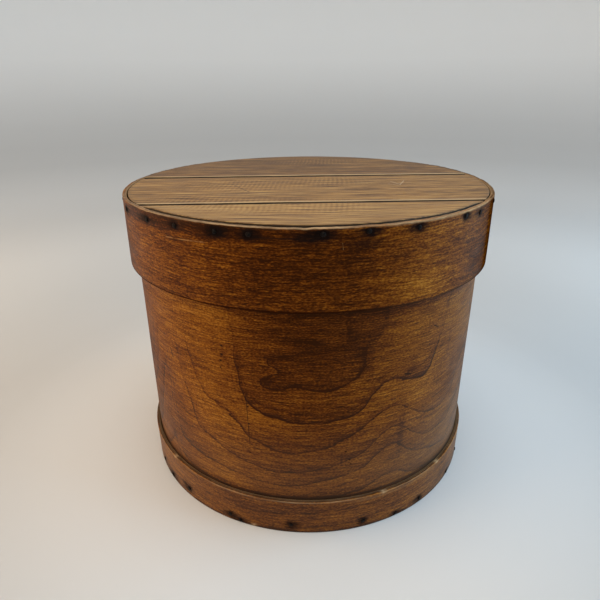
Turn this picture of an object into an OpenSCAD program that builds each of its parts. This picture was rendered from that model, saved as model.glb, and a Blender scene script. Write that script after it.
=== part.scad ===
// Round bentwood cheese box, in millimetres.
// A sheet of veneer is rolled into a cylinder, lapped at the back and tacked. A bottom of three
// dowelled boards is held in it by nails driven through a shorter outer hoop. The lid is three
// dowelled boards with a nailed rim of the same bent wood, and lifts straight off.
// The origin is the centre of the base, +Z is up and the front is towards -Y. Bearings are
// degrees from the front, anticlockwise seen from above, so 90 is +X and 180 is the back.

/* [Box] */
// Height from the ground to the top of the lid boards
box_h = 347; // [280:1:420]
// Outside diameter of the rolled side sheet
side_d = 414; // [360:1:460]
// Thickness of the side sheet
side_t = 3.6; // [3:0.1:4.5]

/* [Bottom] */
// Thickness of the bottom boards
bottom_t = 16; // [13:0.5:20]
// Direction of the bottom boards, as a turn from the lid boards
bottom_turn = 32; // [28:1:34]
// Height of the bottom hoop
hoop_h = 44; // [42:1:60]
// Thickness of the bottom hoop
hoop_t = 4.4; // [3:0.1:5]

/* [Lid] */
// Thickness of the lid boards
lid_t = 13; // [11:0.5:16]
// Height of the lid rim
rim_h = 76.5; // [60:0.5:110]
// Thickness of the lid rim
rim_t = 4.6; // [3:0.1:5]
// Free space between the side sheet and the lid rim, on each side
lid_clearance = 3.4; // [2.8:0.1:6]
// How far the rim's top edge stands below the top of the lid boards
rim_drop = 0.8; // [0:0.1:2]

/* [Sheet laps] */
// Arc of every lap, in degrees of the sheet's turn
lap_deg = 17.5; // [12.5:2.5:22.5]
// Thickness that each lapped end is skived to
end_t = 1; // [0.6:0.1:1.4]
// Bearing of the middle of the side sheet's lap
side_lap_at = 180; // [175:1:185]
// Bearing of the middle of the lid rim's lap
rim_lap_at = 148; // [144:1:152]
// Bearing of the middle of the bottom hoop's lap
hoop_lap_at = 215; // [212:1:218]

/* [Hidden] */
$fn = 96;

side_brown = [0.44, 0.25, 0.10];
rim_brown = [0.42, 0.23, 0.09];
board_tan = [0.58, 0.43, 0.28];
bottom_tan = [0.62, 0.47, 0.31];
dowel_tan = [0.78, 0.62, 0.42];
iron = [0.14, 0.12, 0.11];

// Sheets are drawn in flats of this many degrees
flat_deg = 2.5;
// Slit left between the two layers of a lap
lap_gap = 0.2;
// Turn over which a sheet climbs onto a lap or down from it
climb_deg = 12.5;
// A lap stands this far proud of the plain sheet
lap_rise = end_t + lap_gap;
// Gap between a sheet and what it is wrapped around
wrap_gap = 0.2;
// Gap between the lid boards and the side sheet's top, which they rest on
seat_gap = 0.1;

side_r = side_d / 2 - side_t;
side_h = box_h - lid_t - seat_gap;
bottom_r = side_r - 0.3;
hoop_r = side_d / 2 + wrap_gap;
rim_r = side_d / 2 + lid_clearance;
rim_z = box_h - rim_drop - rim_h;
lid_r = rim_r - 0.8;

// Lid seams run along X at these Y. The gap of the front one is wider at its left end
lid_back_seam = 36;
lid_front_seam = -111;
lid_seam_gap = 1;
lid_front_skew = 0.5;
// Bottom seams, before the bottom is turned
bottom_back_seam = 72;
bottom_front_seam = -66;
bottom_seam_gap = 0.8;

// Dowels cross each seam in a pair, at these X
dowel_r = 3;
dowel_l = 44;
lid_dowel_x = 95;
bottom_dowel_x = 90;

// The wood's holes are this much tighter, in radius, than the nail, tack or dowel driven into them
grip = 0.1;
nail_r = 1;
nail_l = 27;
nail_head_r = 2.6;
nail_head_t = 0.9;
nail_point = 3;
tack_r = 0.7;
tack_head_r = 2;
tack_head_t = 0.6;
// Length of the tip that is bent flat on the inside
clinch_l = 4;

// Lid nails: bearing, and depth below the top of the lid boards
lid_nails = [
    [-77, 8], [-64, 9.5], [-48.5, 8.5], [-37, 7], [-25, 6.5], [-16.5, 6.5], [0.5, 5],
    [11, 4], [24, 5.5], [40.5, 4.5], [48.5, 6.5], [64, 6], [77, 7], [90, 5.5],
    [107, 7.5], [119, 6], [131, 5], [142, 7], [154, 6], [167, 8], [180, 6.5],
    [193, 5], [205, 7], [218, 6], [231, 8], [244, 7], [253, 5.5], [268, 7],
];
// Hoop nails: bearing, and height above the ground
hoop_nails = [
    [-64, 9], [-56, 5], [-45, 11], [-27.5, 8], [-24, 3.5], [-8, 11], [14, 9], [25.5, 3.5],
    [35.5, 6], [53, 4], [65, 7], [82, 9], [97, 6], [113, 10], [129, 5], [146, 8],
    [163, 11], [180, 6], [197, 9], [215, 7], [232, 10], [248, 6], [264, 8], [280, 5],
];
// The two rows of tacks up the side sheet's lap, at these parts of the lap's arc from its middle
side_tack_rows_at = [-0.28, 0.28];
side_tack_count = 8;
side_tack_low = hoop_h + 14;
side_tack_step = (side_h - 14 - side_tack_low) / side_tack_count;

// ---- bent sheets ----

function ease(u) = let (c = min(max(u, 0), 1)) c * c * (3 - 2 * c);

function polar(r, bearing) = [r * sin(bearing), -r * cos(bearing)];

// Thickness of the inner end, a degrees from its tip
function skived(a, t) = end_t + (t - end_t) * min(a / lap_deg, 1);

// Climb of a sheet onto its own inner end, a degrees along the sheet
function own_climb(a) = lap_rise * ease((a - 360 + climb_deg) / climb_deg);

// Climb over another sheet's lap, whose middle is over_at degrees along this sheet
function other_climb(a, over_at) =
    over_at == undef ? 0
    : lap_rise * ease((lap_deg / 2 + climb_deg + 2 - abs(a - over_at)) / climb_deg);

function outer_r(a, r, t, over_at) =
    r + other_climb(a, over_at) + (a < lap_deg ? skived(a, t) : t + own_climb(a));

function inner_r(a, r, t, over_at) =
    r + other_climb(a, over_at) + (a <= 360 ? own_climb(a) : lap_gap + skived(a - 360, t));

// Bearing at which a sheet's inner end starts
function seam_start(lap_at) = lap_at - lap_deg / 2;

// Outside radius of a lapped sheet at a bearing
function face_r(bearing, r, t, lap_at, over_at) =
    let (a = (bearing - seam_start(lap_at) + 720) % 360)
    outer_r(a < lap_deg ? a + 360 : a, r, t, over_at);

module bent_sheet(r, t, h, lap_at, over_at) {
    turns = [0 : flat_deg : 360 + lap_deg];
    back = [360 + lap_deg : -flat_deg : 0];
    outline = concat(
        [for (a = turns) polar(outer_r(a, r, t, over_at), a)],
        [for (a = back) polar(inner_r(a, r, t, over_at), a)]
    );
    rotate([0, 0, seam_start(lap_at)]) linear_extrude(height = h) polygon(outline);
}

// ---- fasteners ----

// Places children on the outside of a wall, with +Y pointing in through it
module at_bearing(bearing, r, z) {
    rotate([0, 0, bearing]) translate([0, -r, z]) children();
}

module rod(r, l) {
    rotate([-90, 0, 0]) cylinder(r = r, h = l);
}

module nail(r, l, head_r, head_t) {
    translate([0, -head_t, 0]) rotate([-90, 0, 0]) cylinder(r1 = head_r * 0.8, r2 = head_r, h = head_t);
    rod(r, l - nail_point);
    translate([0, l - nail_point, 0]) rotate([-90, 0, 0]) cylinder(r1 = r, r2 = r * 0.2, h = nail_point);
}

// A tack driven through a stack of wood, with its tip bent down against the inside
module clinched_tack(stack) {
    translate([0, -tack_head_t, 0]) rotate([-90, 0, 0])
        cylinder(r1 = tack_head_r * 0.8, r2 = tack_head_r, h = tack_head_t);
    rod(tack_r, stack + 2 * tack_r);
    translate([0, stack + tack_r, -clinch_l]) cylinder(r = tack_r, h = clinch_l);
}

module lid_nail_row() {
    for (n = lid_nails)
        at_bearing(n[0], face_r(n[0], rim_r, rim_t, rim_lap_at), box_h - n[1]) children();
}

module hoop_nail_row() {
    for (n = hoop_nails)
        at_bearing(n[0], hoop_face_r(n[0]), n[1]) children();
}

// Outside radius of the bottom hoop, which climbs over the side sheet's lap
function hoop_over() = side_lap_at - seam_start(hoop_lap_at) + 360;
function hoop_face_r(b) = face_r(b, hoop_r, hoop_t, hoop_lap_at, hoop_over());
// Wood that a tack in the hoop's lap goes through, down to the side sheet's inside
hoop_stack = hoop_face_r(hoop_lap_at) - side_r;

// The second row of tacks stands a little higher than the first
module side_tack_rows() {
    for (row = [0, 1])
        for (i = [0 : side_tack_count - 1])
            at_bearing(
                side_lap_at + side_tack_rows_at[row] * lap_deg, side_r + side_t + lap_rise,
                side_tack_low + side_tack_step * (i + 0.3 * row)
            ) children();
}

module rim_tack_row() {
    for (i = [0 : 2])
        at_bearing(rim_lap_at, rim_r + rim_t + lap_rise, rim_z + 12 + 19 * i) children();
}

module hoop_tack_row() {
    for (side = [-1, 1])
        at_bearing(
            hoop_lap_at + side * lap_deg / 4, hoop_face_r(hoop_lap_at), hoop_h - 13 + 4 * side
        ) children();
}

// ---- boards ----

// A strip of the round head between two edges, each given by its Y at the left and right
module head_board(r, t, low_edge, high_edge) {
    linear_extrude(height = t) intersection() {
        circle(r = r);
        polygon([[-r, low_edge[0]], [r, low_edge[1]], [r, high_edge[1]], [-r, high_edge[0]]]);
    }
}

module dowel_pair(x, seam, z, r) {
    for (side = [-1, 1]) translate([side * x, seam - dowel_l / 2, z]) rod(r, dowel_l);
}

module lid_dowel_set(r) {
    for (seam = [lid_front_seam, lid_back_seam]) dowel_pair(lid_dowel_x, seam, box_h - lid_t / 2, r);
}

module bottom_dowel_set(r) {
    for (seam = [bottom_front_seam, bottom_back_seam])
        rotate([0, 0, bottom_turn]) dowel_pair(bottom_dowel_x, seam, bottom_t / 2, r);
}

module lid_board(low_edge, high_edge) {
    difference() {
        translate([0, 0, box_h - lid_t]) head_board(lid_r, lid_t, low_edge, high_edge);
        lid_dowel_set(dowel_r - grip);
        lid_nail_row() rod(nail_r - grip, nail_l);
    }
}

module bottom_board(low_edge, high_edge) {
    difference() {
        rotate([0, 0, bottom_turn]) head_board(bottom_r, bottom_t, low_edge, high_edge);
        bottom_dowel_set(dowel_r - grip);
        hoop_nail_row() rod(nail_r - grip, nail_l);
    }
}

// ---- body ----

module side_sheet() {
    color(side_brown) difference() {
        bent_sheet(side_r, side_t, side_h, side_lap_at);
        side_tack_rows() rod(tack_r - grip, 3 * side_t);
        hoop_nail_row() rod(nail_r - grip, nail_l);
        hoop_tack_row() rod(tack_r - grip, 2 * hoop_stack);
    }
}

module side_seam_tacks() {
    color(iron) side_tack_rows() clinched_tack(side_t + lap_rise);
}

module bottom_board_front() {
    edge = bottom_front_seam - bottom_seam_gap / 2;
    color(bottom_tan) bottom_board([-bottom_r, -bottom_r], [edge, edge]);
}

module bottom_board_middle() {
    low = bottom_front_seam + bottom_seam_gap / 2;
    high = bottom_back_seam - bottom_seam_gap / 2;
    color(bottom_tan) bottom_board([low, low], [high, high]);
}

module bottom_board_back() {
    edge = bottom_back_seam + bottom_seam_gap / 2;
    color(bottom_tan) bottom_board([edge, edge], [bottom_r, bottom_r]);
}

module bottom_dowels() {
    color(dowel_tan) bottom_dowel_set(dowel_r);
}

module bottom_hoop() {
    color(rim_brown) difference() {
        bent_sheet(hoop_r, hoop_t, hoop_h, hoop_lap_at, hoop_over());
        hoop_nail_row() rod(nail_r - grip, nail_l);
        hoop_tack_row() rod(tack_r - grip, 2 * hoop_stack);
    }
}

module bottom_hoop_nails() {
    color(iron) hoop_nail_row() nail(nail_r, nail_l, nail_head_r, nail_head_t);
}

module bottom_hoop_tacks() {
    color(iron) hoop_tack_row() clinched_tack(hoop_stack);
}

// ---- lid ----

module lid_board_front() {
    edge = lid_front_seam - lid_seam_gap / 2;
    color(board_tan) lid_board([-lid_r, -lid_r], [edge - lid_front_skew, edge + lid_front_skew]);
}

module lid_board_middle() {
    low = lid_front_seam + lid_seam_gap / 2;
    high = lid_back_seam - lid_seam_gap / 2;
    color(board_tan) lid_board([low, low], [high, high]);
}

module lid_board_back() {
    edge = lid_back_seam + lid_seam_gap / 2;
    color(board_tan) lid_board([edge, edge], [lid_r, lid_r]);
}

module lid_dowels() {
    color(dowel_tan) lid_dowel_set(dowel_r);
}

module lid_rim() {
    color(rim_brown) difference() {
        translate([0, 0, rim_z]) bent_sheet(rim_r, rim_t, rim_h, rim_lap_at);
        lid_nail_row() rod(nail_r - grip, nail_l);
        rim_tack_row() rod(tack_r - grip, 3 * rim_t);
    }
}

module lid_rim_nails() {
    color(iron) lid_nail_row() nail(nail_r, nail_l, nail_head_r, nail_head_t);
}

module lid_rim_tacks() {
    color(iron) rim_tack_row() clinched_tack(rim_t + lap_rise);
}

side_sheet();
side_seam_tacks();
bottom_board_front();
bottom_board_middle();
bottom_board_back();
bottom_dowels();
bottom_hoop();
bottom_hoop_nails();
bottom_hoop_tacks();
lid_board_front();
lid_board_middle();
lid_board_back();
lid_dowels();
lid_rim();
lid_rim_nails();
lid_rim_tacks();
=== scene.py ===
"""Looks of a round bentwood cheese box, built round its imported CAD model.

Lengths are metres. Bearings are degrees from the front, anticlockwise seen from above, so 90 is +X
and 180 is the back. A sheet's turn counts degrees along the sheet, from the tip of its inner end.
"""
import math

import bmesh
import bpy
import numpy as np
from mathutils import Matrix, Vector


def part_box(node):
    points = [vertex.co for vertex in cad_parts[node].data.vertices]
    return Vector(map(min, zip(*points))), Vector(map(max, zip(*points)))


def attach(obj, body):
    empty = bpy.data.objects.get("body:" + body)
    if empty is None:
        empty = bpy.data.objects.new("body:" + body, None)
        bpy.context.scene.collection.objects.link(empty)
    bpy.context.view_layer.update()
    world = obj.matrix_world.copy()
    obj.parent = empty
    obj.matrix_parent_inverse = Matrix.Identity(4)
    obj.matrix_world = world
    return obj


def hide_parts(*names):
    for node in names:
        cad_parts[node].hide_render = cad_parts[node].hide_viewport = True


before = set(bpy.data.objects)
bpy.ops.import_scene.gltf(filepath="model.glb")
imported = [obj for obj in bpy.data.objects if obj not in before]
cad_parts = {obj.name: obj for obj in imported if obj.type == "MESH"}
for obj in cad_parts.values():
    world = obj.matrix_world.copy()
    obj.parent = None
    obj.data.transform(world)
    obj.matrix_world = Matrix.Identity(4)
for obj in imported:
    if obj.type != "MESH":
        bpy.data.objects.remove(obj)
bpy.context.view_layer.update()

MM = 0.001

# Camera: where it stands round the box, how high, and how it is turned from facing the middle
CAMERA_FAR = 0.621
CAMERA_BEARING = -3.0
CAMERA_HIGH = 0.460
CAMERA_PITCH = 23.58
CAMERA_YAW = 2.07
CAMERA_ROLL = -0.37
CAMERA_LENS = 30.3

# The bent sheets' laps, as on the CAD model
LAP = 17.5
CLIMB = 12.5
CLIMB_SPARE = 2.0
END_T = 1.0 * MM
LAP_GAP = 0.2 * MM
LAP_RISE = END_T + LAP_GAP
WRAP_GAP = 0.2 * MM
SIDE_T, RIM_T, HOOP_T = 3.6 * MM, 4.6 * MM, 4.4 * MM
SIDE_LAP_AT, RIM_LAP_AT, HOOP_LAP_AT = 180.0, 148.0, 215.0
TURN_STEP = 0.75

# Fasteners, as on the CAD model but for slightly smaller nail heads: radius and thickness of the head,
# radius of the shank; then the length of a nail and of a tack's bent tip
NAIL = (2.34 * MM, 0.9 * MM, 1.0 * MM)
TACK = (2.0 * MM, 0.6 * MM, 0.7 * MM)
NAIL_L, CLINCH_L = 27 * MM, 4 * MM

side_lo, side_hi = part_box("side_sheet")
rim_lo, rim_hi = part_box("lid_rim")
hoop_lo, hoop_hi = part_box("bottom_hoop")
lid_lo, lid_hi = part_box("lid_board_middle")
bottom_lo, bottom_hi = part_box("bottom_board_middle")
SIDE_R = side_hi.x - SIDE_T
RIM_R = rim_hi.x - RIM_T
HOOP_R = side_hi.x + WRAP_GAP
LID_R = lid_hi.x
BOTTOM_R = SIDE_R - 0.3 * MM


# ---- repeatable noise ----


def lattice(ix, iy, seed):
    """A fixed number from -1 to 1 for each pair of whole numbers."""
    h = (ix * 374761393 + iy * 668265263 + seed * 2246822519) & 0xFFFFFFFF
    h = ((h ^ (h >> 13)) * 1274126177) & 0xFFFFFFFF
    return ((h ^ (h >> 16)) & 0xFFFF) / 32767.5 - 1


def noise(x, y, seed):
    """Smooth noise from -1 to 1 that changes over about one unit of x and of y."""
    x, y = np.broadcast_arrays(np.asarray(x, float), np.asarray(y, float))
    ix, iy = np.floor(x).astype(np.int64), np.floor(y).astype(np.int64)
    fx, fy = x - ix, y - iy
    ux, uy = fx * fx * (3 - 2 * fx), fy * fy * (3 - 2 * fy)
    low = lattice(ix, iy, seed) * (1 - ux) + lattice(ix + 1, iy, seed) * ux
    high = lattice(ix, iy + 1, seed) * (1 - ux) + lattice(ix + 1, iy + 1, seed) * ux
    return low * (1 - uy) + high * uy


def layered(x, y, seed, layers=3):
    """Noise with finer and weaker layers added, from about -1 to 1."""
    total = sum(noise(x * 2**i, y * 2**i, seed + 17 * i) / 2**i for i in range(layers))
    return total / (2 - 2 / 2**layers)


def ease(u):
    c = np.clip(u, 0, 1)
    return c * c * (3 - 2 * c)


def hump(x, middle, width):
    return np.exp(-(((x - middle) / width) ** 2))


def signed(bearing):
    """The same bearing, from -180 to 180."""
    return (np.asarray(bearing) + 180) % 360 - 180


ALL = math.inf


def spots(b, height, table):
    """Soft spots added up: bearing, height in millimetres, half width, half height and weight of each.

    With a half height of ALL, a spot is a whole upright band.
    """
    return sum(weight * hump(b, at, wide) * hump(height, high * MM, tall * MM)
               for at, high, wide, tall, weight in table)


# ---- meshes ----


def make_piece(name, verts, faces, material, attributes):
    """A mesh object with smooth faces, outward normals and per-vertex attributes."""
    mesh = bpy.data.meshes.new(name)
    mesh.from_pydata(np.asarray(verts, float).tolist(), [], faces)
    work = bmesh.new()
    work.from_mesh(mesh)
    bmesh.ops.recalc_face_normals(work, faces=work.faces)
    work.to_mesh(mesh)
    work.free()
    for key, values in attributes.items():
        values = np.asarray(values, np.float32)
        kind, field = ("FLOAT_VECTOR", "vector") if values.ndim == 2 else ("FLOAT", "value")
        mesh.attributes.new(key, kind, "POINT").data.foreach_set(field, values.ravel())
    mesh.materials.append(material)
    mesh.shade_smooth()
    piece = bpy.data.objects.new(name, mesh)
    bpy.context.scene.collection.objects.link(piece)
    return piece


def grid_faces(rows, columns, first=0, wrap=False):
    """Quads between neighbours in rows of points, where wrap joins each row's end to its start."""
    across = columns if wrap else columns - 1
    i, k = np.meshgrid(np.arange(rows - 1), np.arange(across), indexing="ij")
    k2 = (k + 1) % columns
    quads = np.stack([i * columns + k, (i + 1) * columns + k, (i + 1) * columns + k2, i * columns + k2], -1)
    return (quads.reshape(-1, 4) + first).tolist()


def fasteners(node):
    """Bearing, height and outermost radius of each loose solid of a CAD node, in order of bearing."""
    work = bmesh.new()
    work.from_mesh(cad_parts[node].data)
    bmesh.ops.remove_doubles(work, verts=work.verts, dist=1e-6)
    seen, found = set(), []
    for start in work.verts:
        if start.index in seen:
            continue
        todo, points = [start], []
        seen.add(start.index)
        while todo:
            v = todo.pop()
            points.append(v.co)
            for e in v.link_edges:
                w = e.other_vert(v)
                if w.index not in seen:
                    seen.add(w.index)
                    todo.append(w)
        far = max(math.hypot(p.x, p.y) for p in points)
        head = [p for p in points if math.hypot(p.x, p.y) > far - 0.5 * MM]
        middle = sum(head, Vector()) / len(head)
        found.append((math.degrees(math.atan2(middle.x, -middle.y)), middle.z, far))
    work.free()
    return sorted(found)


# ---- bent sheets ----


def sheet_radii(turn, r, t, over_at=None):
    """Inner and outer radius along a lapped sheet, which may also climb over another sheet's lap."""
    own = LAP_RISE * ease((turn - 360 + CLIMB) / CLIMB)
    near_lap = 0 if over_at is None else LAP / 2 + CLIMB + CLIMB_SPARE - np.abs(turn - over_at)
    other = LAP_RISE * ease(near_lap / CLIMB)
    start = END_T + (t - END_T) * np.clip(turn / LAP, 0, 1)
    end = LAP_GAP + END_T + (t - END_T) * np.clip((turn - 360) / LAP, 0, 1)
    outer = r + other + np.where(turn < LAP, start, t + own)
    inner = r + other + np.where(turn <= 360, own, end)
    return inner, outer


def sheet_profile(z0, z1, t, round_top, round_bottom, n_outer, n_inner):
    """A loop round a sheet's cut section: how far across the sheet each point is, 0 to 1, and its height."""
    corner = np.radians(np.linspace(0, 90, 5)[1:])
    top_in, top_down = round_top / t * (1 - np.cos(corner)), round_top * (1 - np.sin(corner))
    low_in, low_up = round_bottom / t * (1 - np.cos(corner)), round_bottom * (1 - np.sin(corner))
    outer_z = np.linspace(z0 + round_bottom, z1 - round_top, n_outer)
    inner_z = np.linspace(z1 - round_top, z0 + round_bottom, n_inner)
    middle = np.array([0.36, 0.45, 0.55, 0.64])
    across = np.concatenate([0 * outer_z, top_in, middle, 1 - top_in[::-1], 1 + 0 * inner_z,
                             1 - low_in[:-1], low_in[::-1]])
    height = np.concatenate([outer_z, z1 - top_down, z1 + 0 * middle, z1 - top_down[::-1], inner_z,
                             z0 + low_up[:-1], z0 + low_up[::-1]])
    return across, height


def bent_sheet(name, material, shape, profile, bulge, lift, looks):
    """A lapped sheet. bulge and lift move its points outwards and up.

    shape is its inner radius, thickness, the bearing of its lap, and the turn where it climbs over
    another sheet's lap. looks gives its figure, the strength of its lines, tone with painted shade, wear with
    painted highlights, stain with painted shade, dust with painted sheen, and dullness at each point.
    """
    r, t, lap_at, over_at = shape
    across, height = profile
    turn = np.linspace(0, 360 + LAP, int(round((360 + LAP) / TURN_STEP)) + 1)
    inner, outer = sheet_radii(turn, r, t, over_at)
    start = lap_at - LAP / 2
    b = signed(start + turn)[:, None]
    z = np.broadcast_to(height, (len(turn), len(height))).copy()
    across = np.broadcast_to(across, z.shape)
    wall = outer[:, None] + (inner - outer)[:, None] * across
    arc = np.radians(turn)[:, None] * (r + t) + 0 * z
    radius = wall + bulge(b, z)
    attributes = {key: np.broadcast_to(values, z.shape).ravel()
                  for key, values in looks(b, arc, z, across).items()}
    inside = ease((across - 0.72) / 0.2)
    attributes["inside"] = inside.ravel()
    attributes["grain"] = np.stack([arc, z, 0.4 * inside + (wall - r)], -1).reshape(-1, 3)
    z = z + lift(b, z)
    rad = np.radians(start + turn)[:, None]
    verts = np.stack([radius * np.sin(rad), -radius * np.cos(rad), z], -1).reshape(-1, 3)
    rows, columns = z.shape
    faces = grid_faces(rows, columns, wrap=True)
    faces.append(list(range(columns)))
    faces.append(list(range((rows - 1) * columns, rows * columns)))
    return make_piece(name, verts, faces, material, attributes)


def iron_stain(b, z, r, nails, seed, reach=7 * MM):
    """Dark bloom round each nail, longer along the grain than across it, from 0 to 1."""
    total = np.zeros(np.broadcast(b, z).shape)
    for i, (bearing, high, _) in enumerate(nails):
        pick = lattice(i, 3, seed), lattice(i, 5, seed), lattice(i, 9, seed)
        wide = reach * (1.3 + 0.7 * pick[0])
        tall = 0.5 * reach * (1.1 + 0.35 * pick[1])
        offset = np.radians(signed(b - bearing)) * r
        along = offset - 0.35 * wide * pick[2]
        total += hump(along, 0, wide) * hump(z, high, tall) * (0.9 + 0.35 * pick[1])
        total += 1.2 * hump(offset, 0, 3.6 * MM) * hump(z, high, 3.4 * MM)
    ragged = 1 + 0.6 * layered(b * 1.1, z / (3 * MM), seed + 40)
    return np.clip(total * ragged, 0, 1.2)


def dents(b, z, r, nails):
    """How far the wood is pressed in round each nail head."""
    total = 0
    for bearing, high, _ in nails:
        along = np.radians(signed(b - bearing)) * r
        total = total + hump(along, 0, 4 * MM) * hump(z, high, 3.5 * MM)
    return 0.35 * MM * total


# The side's figure: lines of one growth ring, from the front's left to its right, as bearing and height
# in millimetres. Ring 6 bounds the large pool, and ring 3 ends in a flame at the right.
RING_LINES = [
    (0, [(-75, 2), (0, -4), (75, 2)]),
    (3, [(-75, 420), (-53, 330), (-50.5, 200), (-49.5, 96), (-45, 84), (-37, 78), (-28, 75), (-20, 69),
         (-12, 66), (-4, 70), (6, 78), (14, 88), (19, 104), (22, 111), (25, 108), (29, 94), (33, 84),
         (40, 75), (50, 66), (62, 96), (75, 330)]),
    (4, [(-75, 430), (-48, 340), (-44, 200), (-38, 120), (-28, 101), (-20, 89), (-12, 81), (-4, 84),
         (6, 92), (14, 106), (19, 124), (23, 131), (27, 124), (32, 107), (39, 97), (48, 99), (58, 130),
         (75, 360)]),
    (5, [(-75, 440), (-44, 350), (-40, 230), (-35, 172), (-28, 160), (-24, 149), (-20, 127), (-14, 117),
         (-6, 111), (2, 117), (9, 130), (15, 146), (19, 156), (23, 158), (27, 152), (32, 137), (38, 130),
         (44, 130), (50, 142), (56, 190), (75, 380)]),
    (6, [(-75, 460), (-27, 360), (-24, 290), (-22.5, 225), (-22, 190), (-20, 171), (-16, 160), (-9, 153),
         (2, 150), (9, 153), (13, 161), (15, 176), (18, 188), (22, 192), (28, 188), (33, 189), (36, 197),
         (38, 226), (42, 300), (75, 470)]),
]

# The dark core inside the pool, as spots
CORE_LOBES = [(2, 206, 11, 23, 1.0), (-9, 214, 4.5, 5.5, 0.5), (-12, 189, 4.5, 9, 0.55), (-4, 236, 5, 4, 0.4),
              (13, 258, 6, 26, 0.9)]
CORE_EDGE = 0.42

# Broad light and dark patches on the side, the dark front partly painted shade, then its dark streaks, as
# spots
SIDE_TONES = [
    (0, 0, 20, ALL, -0.2), (-30, 0, 9, ALL, 0.14), (-45, 0, 14, ALL, -0.06), (40, 0, 20, ALL, 0.09),
    (0, 255, 30, 30, -0.2), (-42, 230, 17, 100, 0.16), (24, 160, 12, 40, 0.14),
    (25.8, 112, 1.1, 26, -0.5), (-22, 206, 1.3, 25, -0.22), (14, 214, 1.4, 16, -0.35),
    (27.8, 188.5, 2.0, 2.6, -0.6), (-11, 219, 3.5, 3.2, -0.45), (-14, 190, 2.2, 5, -0.45),
    (-3, 237, 5.5, 2.2, -0.5), (44, 205, 0.9, 14, -0.3), (47.5, 170, 1.2, 12, -0.25),
]


def front_rings(b, z):
    """The growth ring met at each point of the side's front, with the lines' corners smoothed."""
    reach, step, half, blur = 75, 0.25, 14, 5
    fine = np.arange(-reach, reach + step / 2, step)
    kernel = hump(np.arange(-half, half + 1), 0, blur)
    kernel /= kernel.sum()
    total = np.full(np.broadcast(b, z).shape, float(RING_LINES[0][0]))
    below = None
    for level, line in RING_LINES:
        points = np.array(line, float)
        even = np.interp(fine, points[:, 0], points[:, 1])
        smooth = np.convolve(np.pad(even, half, "edge"), kernel, "valid")
        high = np.interp(b, fine, smooth) * MM
        if below is not None:
            share = np.clip((z - below[1]) / np.maximum(high - below[1], 1 * MM), 0, 1)
            total += (level - below[0]) * share
        below = (level, high)
    past = ease((z - below[1]) / (16 * MM))
    return total + 0.35 * past + 1.15 * past * np.clip(spots(b, z, CORE_LOBES) * 1.1, 0, 1.2)


def side_looks(b, arc, z, across):
    """Looks of the side sheet, whose figure counts growth rings."""
    front = 1 - ease((np.abs(b) - 50) / 22)
    edge = ease((np.abs(b) - 52) / 20)
    far_rings = z / (34 * MM) + 1.9 * layered(arc / 0.19, z / 0.12, 5, 2)
    rings = front_rings(b + 1.3 * layered(z / 0.03, b / 60, 3) * hump(z, 0.2, 0.07), z)
    core = spots(b, z, CORE_LOBES)
    pool = ease((rings - 5.95) / 0.25) * front * ease((24 - b) / 10)
    heart = ease((core - CORE_EDGE) / 0.1) * pool
    outline = hump(core, CORE_EDGE, 0.05) * pool

    tone = 0.04 + 0.16 * layered(arc / 0.11, z / 0.07, 11) + spots(b, z, SIDE_TONES)
    # Painted shade darkens the side from the front's edges round to the back; pool and core are the figure
    tone = tone - 0.06 * pool - 0.12 * heart - 0.3 * outline - 0.16 * edge
    # Dirt and painted shade in the corners over the hoop and under the rim: the narrow dark lines just over
    # the hoop and under the rim, and the wider band under the rim on the right, are painted shadow
    over_hoop, under_rim = z - hoop_hi.z, rim_lo.z - z
    tone = tone - 0.14 * hump(over_hoop, 0, 9 * MM) - 1.9 * hump(over_hoop, 0.3 * MM, 1.3 * MM)
    tone = tone - 0.12 * hump(under_rim, 0, 10 * MM) - 1.3 * hump(under_rim, 3.4 * MM, 1.2 * MM)
    tone = tone - 0.5 * hump(under_rim, 6 * MM, 4 * MM) * ease((b - 2) / 22)

    figure = front * rings + (1 - front) * far_rings
    lines = 1.05 + 0.5 * hump(rings, 6.05, 0.5) * front - 0.5 * hump(b, -46, 18) * ease((z - 0.13) / 0.05)
    lines = lines * (1 - 0.75 * front * ease((z - 0.205) / 0.02))
    wear = hump(z, side_hi.z, 1.5 * MM)
    stain = 0.9 * iron_stain(b, z, side_hi.x, side_tacks, 70, 4.5 * MM)
    # Greyer low down with dust, and towards the right and the edges with painted cool light and sheen
    dust = 1.6 * ease((0.16 - z) / 0.1) * (1 + 0.5 * ease((b - 5) / 30)) + hump(b, 50, 28) + 0.4 * edge
    return dict(figure=figure, lines=lines, tone=tone, wear=wear, stain=stain, dust=dust, dull=0.7 * edge)


# Broad light and dark patches on the lid rim, the front's dark middle partly painted shade, and dark
# blooms round its front nails, as spots whose height is counted down from the top edge
RIM_TONES = [(-4, 0, 21, ALL, -0.26), (-44, 0, 13, ALL, 0.12), (-36, 0, 10, ALL, -0.1),
             (31, 0, 10, ALL, 0.14), (26, 64.5, 12, 20, 0.32), (2, 34, 10, 26, -0.14),
             (-15, 45, 7, 26, -0.25), (9, 23, 4, 9, -0.3)]
RIM_BLOOMS = [(-2.5, 7.5, 4.8, 4.5, 0.95), (10, 14, 5, 5, 0.5)]


def rim_top_wear(b, arc, across, on_top):
    """Pale torn fibres on the rim's top edge, parted by a split, and fewer at the sides and behind."""
    fibres = 0.5 + 0.5 * layered(arc / 0.009, across * 6, 37, 2)
    patchy = 1 + 0.5 * layered(arc / 0.03, across, 38, 3)
    split = hump(across, 0.42 + 0.1 * layered(arc / 0.03, 0, 39), 0.13)
    split = split * ease(0.6 + 1.6 * layered(arc / 0.04, 0, 33))
    outer = 1 - 0.85 * ease((across - 0.75) / 0.2)
    forward = 1 - 0.5 * ease((np.abs(b) - 50) / 16) - 0.35 * ease((np.abs(b) - 92) / 20)
    return 1.15 * (1.1 - 0.8 * fibres) * on_top * patchy * forward * outer * (1 - 0.9 * split)


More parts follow.
